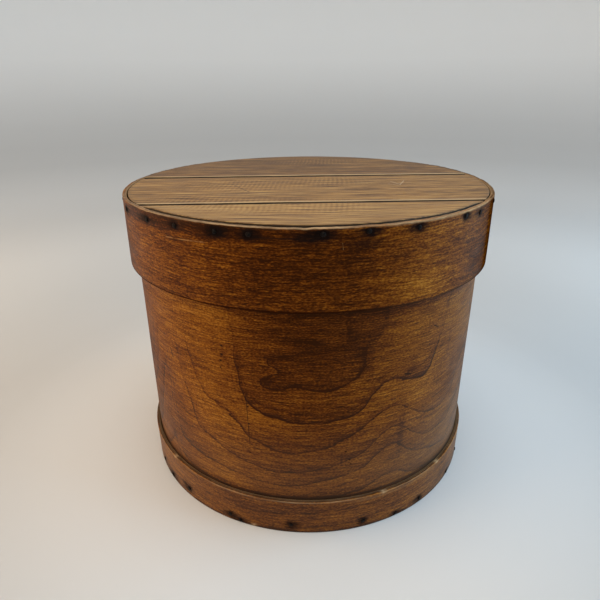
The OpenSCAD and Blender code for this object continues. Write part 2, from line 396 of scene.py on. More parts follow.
def rim_looks(b, arc, z, across):
    """Looks of the lid rim."""
    down, up = rim_hi.z - z, z - rim_lo.z
    edge = ease((np.abs(b) - 52) / 22)
    right = ease((b - 42) / 16) * ease((110 - b) / 20)
    aside = ease((np.abs(b) - 50) / 16)
    behind = ease((np.abs(b) - 92) / 20)
    on_top = ease((1.0 * MM + 0.8 * MM * hump(b, 33, 15) - down) / (0.8 * MM))
    # The bottom edge is darkened on its arris as painted shade, and rubbed pale just above it on the right
    low = ease((1.6 * MM - up) / (1.2 * MM))
    arris = ease((0.9 * MM - up) / (0.7 * MM))
    rubbed = low * (1 - arris) * np.clip(1.2 * hump(b, 34, 17), 0, 1)
    # A dirty strip runs along the boards' edges at the left
    strip = ease((13.5 * MM + 1.5 * MM * noise(arc / 0.02, 0, 31) - down) / (2.5 * MM))
    strip = strip * ease((b + 66) / 10) * ease((-4 - b) / 12)

    rings = 2.2 * layered(arc / 0.17, z / 0.09, 23, 2) + z / (48 * MM)
    tone = 0.15 * layered(arc / 0.09, z / 0.05, 29) - 0.18 + spots(b, down, RIM_TONES)
    # Painted shade: darker towards the sides, more on the right, and on the bottom edge and arris; strip is
    # dirt
    tone = tone - 0.2 * edge - 0.4 * right - 0.42 * strip - 0.45 * low - 0.9 * arris
    # Painted shade: the top edge darkens towards the inside, and all along the back
    tone = tone - on_top * (0.3 * ease((across - 0.35) / 0.3) + 1.0 * behind)
    wear = np.maximum(rim_top_wear(b, arc, across, on_top), 0.6 * rubbed)

    stain = iron_stain(b, z, rim_hi.x, lid_nails, 71, 8.5 * MM) * (1 - ease((2 * MM - down) / (1 * MM)))
    stain = (stain + spots(b, down, RIM_BLOOMS)) * (1 - 0.5 * ease((b - 42) / 4))
    stain = stain + 0.2 * hump(b, 46, 4) * hump(down, 7 * MM, 5 * MM)
    # Where the rim meets the boards' edges, inside, it is dark with dirt and with painted shade in the gap
    gap_dirt_and_shade = ease((across - 0.8) / 0.1) * ease((down - 1 * MM) / MM) * ease((14 * MM - down) / MM)
    stain = np.maximum(stain, (1.5 - 0.9 * aside) * gap_dirt_and_shade)
    # Greyer with a little dust on the right front, and with a painted grey sheen at the left edge
    dust = 0.3 * hump(b, 36, 14) + 0.8 * edge * (b < 0)
    dull = np.maximum(0.85 * edge, right) + low
    return dict(figure=rings, lines=0.2, tone=tone, wear=wear, stain=stain, dust=dust, dull=dull)


# Fresh chips in the hoop, as bearing and height in millimetres
HOOP_CHIPS = [(-19.5, 2.5), (43.5, 43.5), (20.5, 43.5), (-52, 43)]


def hoop_looks(b, arc, z, across):
    """Looks of the bottom hoop."""
    down = hoop_hi.z - z
    on_top = ease((0.9 * MM - down) / (0.7 * MM))
    rings = 1.6 * layered(arc / 0.2, z / 0.06, 43, 2) + z / (30 * MM)
    # The front's dark middle is partly painted shade
    tone = 0.22 * layered(arc / 0.08, z / 0.03, 47) - 0.22 * hump(b, -3, 17)
    tone = tone - 0.75 * ease((4.5 * MM + 1 * MM * noise(arc / 0.015, 0, 48) - z) / (3.5 * MM))
    # Painted shadow of the gap against the side darkens the top face towards its inner side
    tone = tone - 0.9 * on_top * ease((across - 0.15) / 0.2)

    # Pale wear and a painted highlight on the outer top arris, pale wear along the top's middle and in a
    # line below it, and chips
    worn = 0.5 + 0.6 * layered(arc / 0.03, 0, 53)
    wear = np.clip(worn, 0, 1) * hump(across, 0.03, 0.08) * ease((1.3 * MM - down) / (0.6 * MM))
    wear = np.maximum(wear, 0.55 * np.clip(worn + 0.2, 0, 1) * on_top * hump(across, 0.5, 0.1))
    wear = np.maximum(wear, 0.4 * hump(down, 4.2 * MM, 0.8 * MM) * ease(0.5 + 2 * noise(arc / 0.05, 1, 59)))
    chips = sum(hump(b, at, 0.7) * hump(z, high * MM, 1.6 * MM) for at, high in HOOP_CHIPS)
    wear = np.clip(wear + 1.3 * chips, 0, 1.4)
    stain = 0.68 * iron_stain(b, z, hoop_hi.x, hoop_nails, 72, 9 * MM)
    # Greyer with dust, and more towards the sides with painted cool light and sheen; less on the top face
    dust = (1.3 + 0.8 * ease((np.abs(b) - 20) / 30)) * (1 - 0.8 * on_top)
    return dict(figure=rings, lines=0.5, tone=tone, wear=wear, stain=stain, dust=dust, dull=0)


def side_bulge(b, z):
    """The veneer is a little wavy where nothing holds it."""
    free = ease((z - 0.06) / 0.05) * ease((0.262 - z) / 0.04)
    return 0.5 * MM * free * layered(b / 38, z / 0.12, 61, 2)


def rim_bulge(b, z):
    down = rim_hi.z - z
    flare = 0.45 * MM * ease(down / 0.07) * (1 + layered(b / 30, 0, 62, 2))
    ragged = 0.12 * MM * layered(b / 1.2, z / (4 * MM), 63) * ease((5 * MM - down) / (4 * MM))
    lump = 1.0 * MM * hump(b, -16.6, 1.0) * hump(down, 3 * MM, 2.2 * MM)
    split = 0.5 * MM * hump(down, 4.4 * MM, 0.9 * MM) * ease((b + 15) / 3) * ease((1 - b) / 5)
    return flare + ragged + lump - split - dents(b, z, rim_hi.x, lid_nails)


def facing(b):
    """1 across the lid's front, which stands high, falling to 0 at its sides."""
    return 1 - ease((np.abs(b) - 48) / 38)


def rim_lift(b, z):
    """The rim's top edge is frayed, and stands a little proud of the boards at the back."""
    top = 0.35 * MM * layered(b / 3.5, 0, 64) + 0.25 * MM * layered(b / 0.9, 0, 65, 2)
    top = top + 1.1 * MM * hump(signed(b - 118), 0, 24) + 0.6 * MM * hump(signed(b - 228), 0, 22)
    top = top - 0.5 * MM * hump(b, -8, 7) - 0.5 * MM * hump(b, -3.5, 1.2)
    top = top + 1.2 * MM * facing(b) - 1.0 * MM * hump(np.abs(b), 70, 9)
    low = 0.35 * MM * layered(b / 9, 0, 66)
    return top * ease((z - rim_hi.z + 8 * MM) / (8 * MM)) + low * ease((rim_lo.z + 8 * MM - z) / (8 * MM))


def hoop_bulge(b, z):
    """Nailed near the ground, the hoop springs away from the side at its top edge."""
    spring = 0.45 * MM * (z / hoop_hi.z) ** 2 * (1 + 0.9 * layered(b / 34, 0, 67, 2))
    return spring - dents(b, z, hoop_hi.x, hoop_nails)


def hoop_lift(b, z):
    top = 0.4 * MM * layered(b / 8, 0, 68) + 0.15 * MM * layered(b / 0.9, 0, 69, 2)
    top = top - sum(0.9 * MM * hump(b, at, 0.9) for at, high in HOOP_CHIPS if high > 40)
    return top * ease((z - hoop_hi.z + 6 * MM) / (6 * MM))


def no_lift(b, z):
    return 0 * b * z


# ---- boards ----


def edge_steps(low, high, count):
    """Rows of places from low to high, close together near both so that edges can be rounded."""
    fine = np.array([0, 0.25, 0.6, 1.1, 1.8])[:, None] * MM
    span = high - low
    fine = np.minimum(fine, np.linspace(0, 0.2, 5)[:, None] * span)
    between = np.linspace(0, 1, count)[1:-1, None] * (span - 2 * fine[-1]) + low + fine[-1]
    return np.concatenate([low + fine, between, (high - fine)[::-1]])


BOARD_ROWS, BOARD_COLUMNS, ARC_COLUMNS = 60, 150, 170
WORN = 0.7 * MM
SEED_Y = 0.37

# Where a saw's teeth still show on the boards, as spots whose bearing is X in millimetres
SAWN = [(-120, -110, 45, 28, 1), (-60, -125, 50, 28, 1), (20, -130, 30, 20, 1), (-75, -20, 60, 30, 1),
        (25, 0, 40, 22, 1), (10, 150, 60, 25, 1)]


def board_grid(low, high, radius):
    """X and Y of a grid over a board between two Ys. One beyond the circle leaves the arc there."""
    if -radius < low and high < radius:
        rows = edge_steps(np.array([low]), np.array([high]), BOARD_ROWS)[:, 0]
        half = np.sqrt(radius**2 - rows**2)
        x = edge_steps(-half, half, BOARD_COLUMNS).T
        return x.copy(), np.broadcast_to(rows[:, None], x.shape).copy()
    seam = high if low <= -radius else low
    half = math.sqrt(radius**2 - seam**2)
    x = half * np.sin(np.linspace(-1, 1, ARC_COLUMNS) * math.pi / 2 * 0.99)
    arc = np.sqrt(radius**2 - x**2)
    ends = (-arc, seam + 0 * x) if low <= -radius else (seam + 0 * x, arc)
    y = edge_steps(*ends, BOARD_ROWS)
    return np.broadcast_to(x, y.shape).copy(), y


def grid_outline(rows, columns):
    """The outermost points of a grid, in order round it."""
    around = list(range(columns)) + [i * columns + columns - 1 for i in range(1, rows)]
    around += [(rows - 1) * columns + k for k in range(columns - 2, -1, -1)]
    return np.array(around + [i * columns for i in range(rows - 2, 0, -1)])


def board(name, material, across, top, bottom, radius, turn, tint, seed, dark_edge=0.0, shift=(0.0, 0.0),
          warp=0.0):
    """A board of a round head with worn edges. across is the Y of each edge, as for board_grid.

    Its edge on the circle curls up by warp where the lid's front stands high.
    """
    low, high = across
    x, y = board_grid(low, high, radius)
    rim = radius - np.hypot(x, y)
    low_gap = y - low if low > -radius else 1 + 0 * y
    high_gap = high - y if high < radius else 1 + 0 * y
    gap = np.minimum(low_gap, high_gap)
    ragged = 0.3 * MM * layered(x / 0.03, 0 * x, seed) + 0.25 * MM * layered(x / 0.006, 0 * x, seed + 1)
    pull = np.maximum(0, ragged + 0.3 * MM - 1.5 * MM * x / radius) * ease((4 * MM - gap) / (4 * MM))
    y = y + np.where(low_gap < high_gap, pull, -pull)
    edge = np.clip(np.minimum(rim, gap), 0, WORN)
    soft = WORN - np.sqrt(np.maximum(WORN**2 - (WORN - edge) ** 2, 0))
    soft = soft * (0.75 + 0.35 * layered(x / 0.02, y / 0.02, seed + 2))
    cup = 0.3 * MM * layered(x / 0.16, y / 0.08, seed + 3, 2)
    curl = warp * facing(np.degrees(np.arctan2(x, -y))) * ease(1 - rim / 0.06) * ease((high - y) / 0.03)
    z_top = (top + cup - soft + curl).ravel()
    z_low = (bottom + 0.5 * soft).ravel()
    c, s = math.cos(math.radians(turn)), math.sin(math.radians(turn))
    flat = np.stack([x * c - y * s, x * s + y * c], -1).reshape(-1, 2) + shift

    rows, columns = x.shape
    below = rows * columns
    faces = grid_faces(rows, columns) + grid_faces(rows, columns, first=below)
    wall = grid_outline(rows, columns)
    levels = [wall]
    heights = []
    for i, depth in enumerate((0.15 * MM, 0.4 * MM)):
        levels.append(2 * below + i * len(wall) + np.arange(len(wall)))
        heights.append(np.column_stack([flat[wall], z_top[wall] - depth]))
    levels.append(wall + below)
    for upper, lower in zip(levels, levels[1:]):
        ring = np.stack([upper, np.roll(upper, -1), np.roll(lower, -1), lower], -1)
        faces += ring.tolist()
    verts = np.concatenate([np.column_stack([flat, z_top]), np.column_stack([flat, z_low])] + heights)

    near = np.minimum(rim, gap)
    # Pale wear on the worn arrises
    wear = ease((WORN * 1.3 - near) / WORN) * (0.6 + 0.5 * layered(x / 0.02, y / 0.02, seed + 4))
    # dark_edge keeps the pale only on the front edge, as wear and painted highlight, and darkens the back
    # edge
    wear = np.clip(wear, 0, 1) * np.where(low_gap < 4 * MM, 1, 1 - min(dark_edge, 1))
    wear = np.maximum(wear, min(dark_edge, 1) * ease((2.4 * MM - low_gap) / (1.2 * MM)))
    wear = wear.ravel()
    # Dirt and painted shade within 5 mm of every edge, and along the back edge in the seam
    dirt_and_shade = 0.3 * ease((5 * MM - near) / (5 * MM)).ravel() * (1 - wear)
    dirt_and_shade = np.maximum(dirt_and_shade, dark_edge * ease((2.6 * MM - high_gap) / (1.1 * MM)).ravel())
    tone = (tint + 0.12 * layered(x / 0.16, y / 0.03, seed + 5, 2)).ravel()
    sawn = np.clip(spots(x / MM, y, SAWN), 0, 1).ravel()
    grain = np.stack([x + seed, y + SEED_Y * seed, 0 * x], -1).reshape(-1, 3)
    # The edge faces are pale at the top, and dark below with dirt and painted shade in the gaps
    edge_dirt_and_shade = np.concatenate([0 * wall + 0.8, 0 * wall + 1.6])
    return make_piece(name, verts, faces, material, {
        "grain": np.concatenate([grain, grain + [0, 0, 0.3], grain[wall], grain[wall]]),
        "tone": np.concatenate([tone, tone, tone[wall], tone[wall]]),
        "wear": np.concatenate([wear, 0 * wear, 0.4 * wear[wall], 0 * wear[wall]]),
        "stain": np.concatenate([dirt_and_shade, dirt_and_shade, edge_dirt_and_shade]),
        "sawn": np.concatenate([sawn, sawn, sawn[wall], sawn[wall]]),
    })


# ---- nails and tacks ----


def tube(path, sides):
    """Rings of points round a path of (depth, drop, radius), as x, depth, height, and their faces."""
    path = np.array(path)
    steps = np.gradient(path[:, :2], axis=0)
    steps /= np.maximum(np.linalg.norm(steps, axis=1, keepdims=True), 1e-9)
    turn = np.linspace(0, 2 * math.pi, sides, endpoint=False)
    rings = []
    for (depth, drop, radius), (along, down) in zip(path, steps):
        x = radius * np.cos(turn)
        v = radius * np.sin(turn)
        rings.append(np.column_stack([x, depth + down * v, -drop + along * v]))
    faces = grid_faces(len(path), sides, wrap=True)
    last = (len(path) - 1) * sides
    return np.concatenate(rings), faces + [list(range(sides)), list(range(last, last + sides))]


# The outline of a head, from its middle out: height and radius, as shares of its thickness and radius
DOME = [(1.05, 0.06), (1.02, 0.4), (0.86, 0.72), (0.55, 0.93), (0.2, 1.0), (-0.1, 0.94)]


def driven(name, material, places, kind, stack, seed, sides=14):
    """All nails or tacks of one node. With stack, the tip is bent down past that much wood."""
    head_r, head_t, shank_r = kind
    verts, faces, rust = [], [], []
    for i, (bearing, high, far) in enumerate(places):
        tilt, squash, sunk = (lattice(i, k, seed) for k in (1, 2, 3))
        dome = [(-head_t * h, 0, head_r * w) for h, w in DOME]
        if stack is None:
            body = [(0.15 * head_t, 0, shank_r), (NAIL_L - 3 * MM, 0, shank_r), (NAIL_L, 0, 0.2 * shank_r)]
        else:
            bend = stack + shank_r
            body = [(0.15 * head_t, 0, shank_r), (stack, 0, shank_r), (bend, 0.5 * shank_r, shank_r),
                    (bend, 1.5 * shank_r, shank_r), (bend, CLINCH_L, 0.6 * shank_r)]
        points, tube_faces = tube(dome + body, sides)
        in_head = points[:, 1] < 0.1 * head_t
        points[in_head, 0] *= 1 + 0.1 * squash
        points[in_head, 1] += points[in_head, 2] * 0.06 * tilt + points[in_head, 0] * 0.05 * squash
        points[in_head, 1] += 0.12 * MM * (1 + sunk)
        rad = math.radians(bearing)
        radius = far - head_t - points[:, 1]
        where = np.column_stack([
            radius * math.sin(rad) + points[:, 0] * math.cos(rad),
            -radius * math.cos(rad) + points[:, 0] * math.sin(rad),
            high + points[:, 2],
        ])
        verts.append(where)
        faces += [[i * len(points) + k for k in f] for f in tube_faces]
        rust.append(np.full(len(points), 0.5 + 0.5 * lattice(i, 7, seed)))
    return make_piece(name, np.concatenate(verts), faces, material, {"rust": np.concatenate(rust)})


# ---- materials ----


class Shader:
    """A material's nodes. Each call adds one kind of node and gives back its output."""

    def __init__(self, name):
        self.material = bpy.data.materials.new(name)
        self.material.use_nodes = True
        self.nodes = self.material.node_tree.nodes
        self.links = self.material.node_tree.links
        self.surface = self.nodes["Principled BSDF"]

    def put(self, socket, value):
        if isinstance(value, bpy.types.NodeSocket):
            self.links.new(value, socket)
        else:
            socket.default_value = value

    def finish(self, **values):
        for key, value in values.items():
            self.put(self.surface.inputs[key.replace("_", " ").title().replace("Ior", "IOR")], value)
        return self.material

    def value(self, name, output="Fac"):
        node = self.nodes.new("ShaderNodeAttribute")
        node.attribute_name = name
        return node.outputs[output]

    def math(self, operation, a, b=0.0, clamp=False):
        node = self.nodes.new("ShaderNodeMath")
        node.operation = operation
        node.use_clamp = clamp
        self.put(node.inputs[0], a)
        self.put(node.inputs[1], b)
        return node.outputs[0]

    def vector_math(self, operation, a, b=(0, 0, 0)):
        node = self.nodes.new("ShaderNodeVectorMath")
        node.operation = operation
        self.put(node.inputs[0], a)
        self.put(node.inputs[1], b)
        return node.outputs["Value" if operation in ("DOT_PRODUCT", "LENGTH") else "Vector"]

    def times(self, a, b, clamp=False):
        return self.math("MULTIPLY", a, b, clamp)

    def swing(self, noise, amount):
        """Noise made into a change that swings evenly up and down, by half the amount each way."""
        return self.times(self.math("SUBTRACT", noise, 0.5), amount)

    def total(self, first, *others, clamp=False):
        """The sum of its terms, held from 0 to 1 if clamped."""
        for other in others[:-1]:
            first = self.math("ADD", first, other)
        return self.math("ADD", first, others[-1], clamp=clamp)

    def noise(self, vector, scale, detail=2.0, rough=0.5):
        """Noise whose scale is given along each axis, in features per metre."""
        node = self.nodes.new("ShaderNodeTexNoise")
        self.put(node.inputs["Vector"], self.vector_math("MULTIPLY", vector, scale))
        self.put(node.inputs["Scale"], 1.0)
        self.put(node.inputs["Detail"], detail)
        self.put(node.inputs["Roughness"], rough)
        return node.outputs["Fac"]

    def swayed(self, grain, scale, reach):
        """The grain's coordinates, pushed up and down along the sheet so that its lines sway."""
        shift = self.nodes.new("ShaderNodeCombineXYZ")
        self.put(shift.inputs[1], self.swing(self.noise(grain, scale), reach))
        return self.vector_math("ADD", grain, shift.outputs[0])

    def ramp(self, value, stops):
        node = self.nodes.new("ShaderNodeValToRGB")
        ramp = node.color_ramp
        while len(ramp.elements) < len(stops):
            ramp.elements.new(0.5)
        for element, (place, colour) in zip(ramp.elements, stops):
            element.position = place
            element.color = (*colour, 1) if isinstance(colour, tuple) else (colour, colour, colour, 1)
        self.put(node.inputs[0], value)
        return node.outputs["Color"]

    def mix(self, amount, a, b, blend="MIX"):
        node = self.nodes.new("ShaderNodeMix")
        node.data_type = "RGBA"
        node.blend_type = blend
        self.put(node.inputs["Factor"], amount)
        for socket, value in ((node.inputs[6], a), (node.inputs[7], b)):
            self.put(socket, (*value, 1) if isinstance(value, tuple) and len(value) == 3 else value)
        return node.outputs[2]

    def scratch(self, vector, start, end, width):
        """1 on a thin line from start to end, in the sheet's own coordinates, fading to 0 at its edge."""
        start, end = Vector((*start, 0)), Vector((*end, 0))
        along = end - start
        flat = self.vector_math("MULTIPLY", vector, (1, 1, 0))
        place = self.vector_math("SUBTRACT", flat, tuple(start))
        share = self.times(self.vector_math("DOT_PRODUCT", place, tuple(along)),
                           1 / max(along.length_squared, 1e-12), clamp=True)
        nearest = self.nodes.new("ShaderNodeVectorMath")
        nearest.operation = "SCALE"
        self.put(nearest.inputs[0], along)
        self.put(nearest.inputs["Scale"], share)
        gap = self.vector_math("LENGTH", self.vector_math("SUBTRACT", place, nearest.outputs[0]))
        return self.math("SUBTRACT", 1.0, self.math("DIVIDE", gap, width), clamp=True)

    def marked(self, grain, marks):
        """1 on any of the marks, each given as for scratch."""
        total = self.scratch(grain, *marks[0])
        for mark in marks[1:]:
            total = self.math("MAXIMUM", total, self.scratch(grain, *mark))
        return total

    def bump(self, height, distance, strength=1.0):
        node = self.nodes.new("ShaderNodeBump")
        self.put(node.inputs["Strength"], strength)
        self.put(node.inputs["Distance"], distance)
        self.put(node.inputs["Height"], height)
        return node.outputs["Normal"]


# Colours from dark to light, and of what lies on the wood
VARNISHED = ((0.030, 0.0070, 0.0010), (0.085, 0.019, 0.0018), (0.190, 0.053, 0.0045), (0.330, 0.115, 0.0080),
             (0.500, 0.210, 0.0260))
BARE = ((0.20, 0.115, 0.055), (0.33, 0.205, 0.105), (0.45, 0.30, 0.165))
LID_PALETTE = ((0.055, 0.024, 0.009), (0.172, 0.082, 0.026), (0.315, 0.163, 0.048), (0.480, 0.282, 0.094))
BOTTOM_PALETTE = ((0.09, 0.052, 0.026), (0.22, 0.14, 0.075), (0.36, 0.25, 0.14), (0.50, 0.37, 0.23))
PORE = (0.022, 0.007, 0.003)
# DUST_AND_SHEEN is also painted sheen and cool light, TORN_AND_HIGHLIGHT also painted highlight,
# INK_AND_SHADE also painted shade
DUST_AND_SHEEN = (0.15, 0.115, 0.085)
TORN_AND_HIGHLIGHT = (0.50, 0.33, 0.18)
INK_AND_SHADE = (0.0075, 0.0050, 0.0048)
GREYING = (0.88, 0.98, 1.18)


def veneer(name, light_marks=(), dark_marks=()):
    """Old varnished veneer outside, bare dry veneer inside."""
    s = Shader(name)
    grain = s.value("grain", "Vector")
    tone, wear, stain, inside = (s.value(k) for k in ("tone", "wear", "stain", "inside"))
    wavy = s.swayed(grain, (22, 40, 9), 0.006)
    flecks = s.noise(wavy, (16, 280, 80), 3.0, 0.6)
    fine = s.noise(wavy, (45, 700, 150), 3.0, 0.66)
    grit = s.noise(grain, (380, 900, 300), 1.0)
    patches = s.noise(grain, (9, 16, 9), 1.5)

    # Growth rings: a dark line at each whole number of the figure, and faint ones between
    figure = s.total(s.value("figure"), s.times(s.noise(grain, (30, 70, 12), 4.0), 0.30),
                     s.times(s.noise(grain, (50, 520, 60), 3.0, 0.7), 0.11))
    line = s.ramp(s.math("FRACT", figure), [
        (0, 1.0), (0.03, 0.85), (0.08, 0.38), (0.25, 0.16), (0.6, 0.0), (0.93, -0.12), (0.975, -0.08),
        (1, 1.0),
    ])
    between = s.ramp(s.math("FRACT", s.times(figure, 4.0)), [
        (0, 1.0), (0.25, 0.2), (0.5, 0.0), (0.88, 0.0), (1, 1.0),
    ])
    faint = s.ramp(s.noise(grain, (12, 60, 14), 2.0), [(0.42, 0.0), (0.60, 0.34)])
    shown = s.ramp(s.noise(grain, (16, 40, 14), 3.0), [(0.36, 0.6), (0.58, 1.0)])
    line = s.total(line, s.times(between, faint))
    line = s.times(line, s.times(shown, s.value("lines")))

    level = s.total(0.52, s.times(tone, 0.62), s.swing(patches, 0.3), s.swing(flecks, 0.12),
                    s.swing(fine, 1.5), s.swing(grit, 1.1))
    level = s.math("SUBTRACT", level, s.times(line, 0.52), clamp=True)
    colour = s.ramp(level, list(zip((0.0, 0.25, 0.5, 0.75, 1.0), VARNISHED)))
    pores = s.ramp(s.noise(wavy, (75, 800, 400), 2.0, 0.6), [(0.33, 1.0), (0.38, 0.0)])
    colour = s.mix(s.times(pores, 0.55), colour, PORE)
    # Dust greys the wood, and so do painted sheen and cool light
    colour = s.mix(s.times(s.value("dust"), 0.12), colour, DUST_AND_SHEEN)
    # Pale torn wear, with painted highlights on some arrises
    torn = s.total(0.35, s.noise(grain, (260, 900, 300), 2.0))
    colour = s.mix(s.times(wear, torn, clamp=True), colour, TORN_AND_HIGHLIGHT)
    if light_marks:
        broken = s.ramp(s.noise(grain, (160, 500, 100), 2.0), [(0.38, 0.0), (0.62, 0.8)])
        colour = s.mix(s.times(s.marked(grain, light_marks), broken), colour, (0.42, 0.22, 0.08))
    if dark_marks:
        marks = s.times(s.marked(grain, dark_marks), 1.5, clamp=True)
        colour = s.mix(marks, colour, (0.018, 0.007, 0.004))

    dry = s.total(s.times(flecks, 0.6), s.times(patches, 0.4))
    dry = s.ramp(dry, list(zip((0.3, 0.5, 0.7), BARE)))
    dry = s.mix(s.times(line, 0.5), dry, (0.12, 0.06, 0.028))
    colour = s.mix(inside, colour, dry)
    uneven = s.times(s.noise(grain, (130, 420, 200), 3.0), 1.5)
    # Iron stains, and painted shade in the rim's gap to the boards, darken the wood nearly black
    ink_and_shade = s.times(stain, s.total(0.2, uneven))
    ink_and_shade = s.ramp(ink_and_shade, [(0.06, 0.0), (0.45, 0.66), (0.95, 0.97)])
    colour = s.mix(ink_and_shade, colour, INK_AND_SHADE)

    rough = s.total(0.34, s.times(s.noise(grain, (30, 90, 30), 3.0), 0.22))
    rough = s.total(rough, s.times(s.math("MAXIMUM", inside, wear), 0.35), clamp=True)
    height = s.total(flecks, s.times(fine, 0.5))
    height = s.math("SUBTRACT", height, s.times(line, 0.5))
    sheen = s.math("SUBTRACT", 0.14, s.times(ink_and_shade, 0.11))
    sheen = s.times(sheen, s.math("SUBTRACT", 1.0, s.value("dull"), clamp=True))
    return s.finish(base_color=colour, roughness=rough, normal=s.bump(height, 0.35 * MM, 0.55),
                    specular_ior_level=sheen, specular_tint=(1.0, 0.50, 0.20, 1))


def saw_ripples(s, grain):
    """Slanting ripples of a saw where the board's sawn attribute leaves them, from -1 to 1."""
    parts = s.nodes.new("ShaderNodeSeparateXYZ")
    s.put(parts.inputs[0], grain)
    phase = s.total(s.times(parts.outputs[0], 1150.0), s.times(parts.outputs[1], -120.0),
                    s.times(s.noise(grain, (14, 25, 9), 1.0), 6.0))
    broken = s.ramp(s.noise(grain, (20, 120, 5), 2.0), [(0.38, 0.25), (0.56, 1.0)])
    return s.times(s.times(s.math("SINE", phase), broken), s.value("sawn"))


def weathered(name, palette, light_marks=(), dark_marks=()):
    """Sawn boards with long grain, gone grey and dirty, with painted shade and highlights at their edges."""
    s = Shader(name)
    grain = s.value("grain", "Vector")
    tone, wear, stain = (s.value(k) for k in ("tone", "wear", "stain"))
    wavy = s.swayed(grain, (5, 9, 5), 0.020)
    streaks = s.noise(wavy, (6, 230, 60), 4.0, 0.66)
    threads = s.noise(wavy, (25, 600, 200), 3.0, 0.7)
    patches = s.noise(grain, (16, 90, 12), 3.0, 0.6)
    saw = saw_ripples(s, grain)

    level = s.total(0.58, s.times(tone, 0.6), s.swing(streaks, 2.1), s.swing(threads, 2.3),
                    s.swing(patches, 0.6), s.times(saw, 0.15), clamp=True)
    colour = s.ramp(level, list(zip((0.0, 0.33, 0.6, 1.0), palette)))
    grey = s.ramp(s.noise(grain, (6, 60, 8), 3.0), [(0.45, 0.0), (0.75, 0.4)])
    colour = s.mix(grey, colour, s.mix(1.0, colour, GREYING, "MULTIPLY"))
    cracks = s.ramp(s.noise(wavy, (9, 300, 80), 1.0, 0.4), [(0.29, 1.0), (0.33, 0.0)])
    colour = s.mix(s.times(cracks, 0.7), colour, (0.045, 0.024, 0.012))
    # Pale wear, with a painted highlight on the boards' front arrises
    colour = s.mix(s.times(wear, 0.85, clamp=True), colour, (0.60, 0.42, 0.23))
    # Dirt and painted shade along the edges and in the gaps
    dirt_and_shade = s.times(stain, s.total(0.3, s.noise(grain, (60, 90, 60), 3.0)), clamp=True)
    colour = s.mix(dirt_and_shade, colour, (0.05, 0.028, 0.014))
    if light_marks:
        colour = s.mix(s.times(s.marked(grain, light_marks), 0.7), colour, (0.56, 0.43, 0.28))
    if dark_marks:
        colour = s.mix(s.times(s.marked(grain, dark_marks), 0.9), colour, (0.06, 0.032, 0.016))

    rough = s.total(0.55, s.times(patches, 0.3))
    height = s.total(streaks, s.times(threads, 0.6), s.times(saw, 0.10))
    height = s.math("SUBTRACT", height, cracks)
    return s.finish(base_color=colour, roughness=rough, normal=s.bump(height, 0.5 * MM, 0.6))


def rusty_iron(name):
    s = Shader(name)
    coords = s.nodes.new("ShaderNodeTexCoord").outputs["Object"]
    spots = s.noise(coords, (900, 900, 900), 4.0, 0.6)
    amount = s.total(spots, s.times(s.value("rust"), 0.14))
    colour = s.ramp(amount, [(0.40, (0.0030, 0.0026, 0.0030)), (0.62, (0.0075, 0.0055, 0.0046)),
                             (0.80, (0.030, 0.013, 0.006))])
    rough = s.total(0.48, s.times(spots, 0.35))
    return s.finish(base_color=colour, roughness=rough, metallic=0.0, specular_ior_level=0.1,
                    normal=s.bump(spots, 0.3 * MM, 0.9))


def arc_place(bearing, lap_at, r):
    """Where a bearing lies along a sheet, in metres from its inner tip."""
    return math.radians((bearing - (lap_at - LAP / 2)) % 360) * r


def marks_at(lap_at, r, lines):
    """Marks given as bearing and height in millimetres at each end, and a width in millimetres."""
    return [((arc_place(b0, lap_at, r), z0 * MM), (arc_place(b1, lap_at, r), z1 * MM), w * MM)
            for b0, z0, b1, z1, w in lines]


# Old pin holes and short cracks in the side: bearing and height of each end, and width
SIDE_PINS = [
    (-20.4, 172, -19.9, 110, 0.5),
    (-27.0, 223, -26.8, 223, 1.7), (-27.2, 213, -27.0, 213, 2.0), (-27.6, 206, -27.4, 206, 1.7),
    (-27.8, 198, -27.7, 198, 1.2), (-20.0, 158, -19.9, 158, 1.4), (-19.9, 137, -19.8, 137, 1.3),
    (-20.1, 100, -20.0, 100, 1.4), (15.9, 142, 16.0, 142, 1.5), (8.0, 106, 8.1, 106, 1.6),
    (9.2, 95, 9.3, 95, 1.5), (9.6, 89, 9.7, 89, 1.3), (35.2, 232, 37.0, 229, 0.9),
    (-48.5, 196, -47.6, 186, 1.0), (25.5, 187, 27.5, 185, 1.6),
]
RIM_SCRATCHES = [(-40.5, 327.6, -34.0, 328.4, 0.9), (-34.0, 328.4, -26.5, 329.6, 0.8),
                 (5.1, 328, 4.9, 334, 0.3)]
RIM_CRACKS = [(-15.5, 338.3, -5.0, 338.0, 0.8)]


def on_board(seed, points):
    """Marks on a board, from X and Y in millimetres at each end, and a width in millimetres."""
    side = SEED_Y * seed
    return [((x0 * MM + seed, y0 * MM + side), (x1 * MM + seed, y1 * MM + side), w * MM)
            for x0, y0, x1, y1, w in points]


FRONT_SEED, MIDDLE_SEED, BACK_SEED = 3, 8, 14
MIDDLE_SCRATCHES = [(100, -8, 108, -27, 0.9), (117, -4, 107, -28, 0.9), (94, -22, 104, -31, 0.7)]
MIDDLE_CRACKS = [(-87, -20, -68, -58, 1.2)]
FRONT_CRACKS = [(-160, -138, -120, -137, 0.8), (70, -152, 150, -146, 0.7)]

# ---- the box ----

lid_nails = fasteners("lid_rim_nails")
hoop_nails = fasteners("bottom_hoop_nails")
side_tacks = fasteners("side_seam_tacks")

